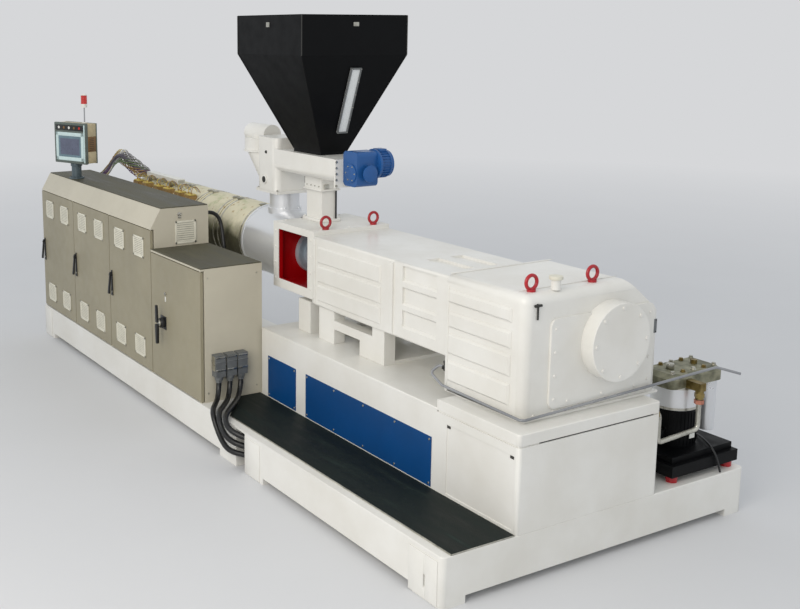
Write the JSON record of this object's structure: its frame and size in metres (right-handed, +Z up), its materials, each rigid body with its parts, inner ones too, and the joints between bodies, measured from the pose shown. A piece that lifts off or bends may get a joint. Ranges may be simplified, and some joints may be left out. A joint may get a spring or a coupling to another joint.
{
  "type": "plastic extruder",
  "caption": "Screw extruder on a steel frame with gearbox, heated barrel, hopper feeder, electrical cabinets, operator terminal and oil unit.",
  "frame": {"origin": "on the floor under the middle of the machine's overall box", "axes": "+X to the drive end, -Y to the operator's side with the cabinet doors, +Z up"},
  "size_m": [5.46, 2.15, 2.695],
  "materials": {
    "ivory_paint": "semi-gloss, cream to light grey",
    "cabinet_paint": "satin olive-beige grey",
    "cabinet_shell_paint": "satin light grey",
    "blue_paint": "semi-gloss",
    "motor_blue_paint": "gloss",
    "red_paint": "gloss",
    "black_paint": "semi-gloss",
    "grey_casting": "sand cast",
    "polished_steel": "turned and polished",
    "jacket_cover": "cream insulating cover",
    "mat_rubber": "matt, dark",
    "grille_plastic": "matt, off-white",
    "black_plastic": "matt",
    "terminal_plastic": "matt beige and brown",
    "lamp_lens": "translucent red",
    "socket_grey": "die cast hoods, grey",
    "cable_jacket": "matt black",
    "zinc_steel": "zinc plated",
    "brown_terminals": "heater terminals",
    "sight_glass": "clear",
    "wire_sleeve": "bundled sleeved wires",
    "grey_pipe": "satin grey",
    "brass": "plain"
  },
  "bodies": {
    "frame": {"barrel_jackets": "jacket_cover", "barrel_supports": "ivory_paint", "bearing_cover": "ivory_paint", "cabinet_low": "cabinet_shell_paint", "cabinet_mats": "mat_rubber", "cabinet_tall": "cabinet_shell_paint", "cable_1": "cable_jacket", "cable_2": "cable_jacket", "cable_3": "cable_jacket", "cable_sockets": "socket_grey", "coupling_box": "ivory_paint", "die_flange": "polished_steel", "end_cover": "ivory_paint", "end_vent": "grille_plastic", "eye_bolts": "red_paint", "feed_section": "polished_steel", "feed_throat": "polished_steel", "feeder_column": "ivory_paint", "feeder_drive": "motor_blue_paint", "feeder_housing": "ivory_paint", "gearbox": "ivory_paint", "gearbox_stand": "ivory_paint", "heater_loom": "wire_sleeve", "heater_terminals": "brown_terminals", "hopper": "black_paint", "hose": "cable_jacket", "housing_plain": "ivory_paint", "housing_slotted": "ivory_paint", "housing_support": "ivory_paint", "lube_pipe": "grey_pipe", "oil_cooler": "polished_steel", "oil_feet": "red_paint", "oil_fittings": "brass", "oil_head": "grey_casting", "oil_motor": "black_paint", "oil_pipe": "zinc_steel", "oil_tank": "black_paint", "pedestal": "ivory_paint", "platform": "ivory_paint", "plinth": "ivory_paint", "shaft_coupling": "polished_steel", "side_panels": "blue_paint", "sight_glass": "sight_glass", "signal_lamp": "lamp_lens", "step_mat": "mat_rubber", "terminal": "terminal_plastic", "terminal_post": "motor_blue_paint", "vent_funnel": "ivory_paint", "wire_duct": "grille_plastic"},
    "door_1": {"door_1": "cabinet_paint", "vents_1": "grille_plastic", "handle_1": "black_plastic"},
    "door_2": {"door_2": "cabinet_paint", "vents_2": "grille_plastic", "handle_2": "black_plastic"},
    "door_3": {"door_3": "cabinet_paint", "vents_3": "grille_plastic", "handle_3": "black_plastic"},
    "door_4": {"door_4": "cabinet_paint"},
    "switch": {"switch_lever": "black_plastic"}
  },
  "joints": [
    {"name": "door_1_hinge", "type": "hinge", "parent": "frame", "child": "door_1", "pos_m": [-1.9825, -1.003, 0.7], "axis": [0, 0, 1], "range_deg": [0, 90]},
    {"name": "door_2_hinge", "type": "hinge", "parent": "frame", "child": "door_2", "pos_m": [-1.225, -1.003, 0.7], "axis": [0, 0, 1], "range_deg": [0, 90]},
    {"name": "door_3_hinge", "type": "hinge", "parent": "frame", "child": "door_3", "pos_m": [-0.4675, -1.003, 0.7], "axis": [0, 0, 1], "range_deg": [0, 90]},
    {"name": "door_4_hinge", "type": "hinge", "parent": "frame", "child": "door_4", "pos_m": [0.29, -1.003, 0.7], "axis": [0, 0, 1], "range_deg": [0, 90]},
    {"name": "switch_turn", "type": "hinge", "parent": "door_4", "child": "switch", "pos_m": [-0.26175, -1.029, 0.66], "axis": [0, -1, 0], "range_deg": [0, 90]}
  ]
}
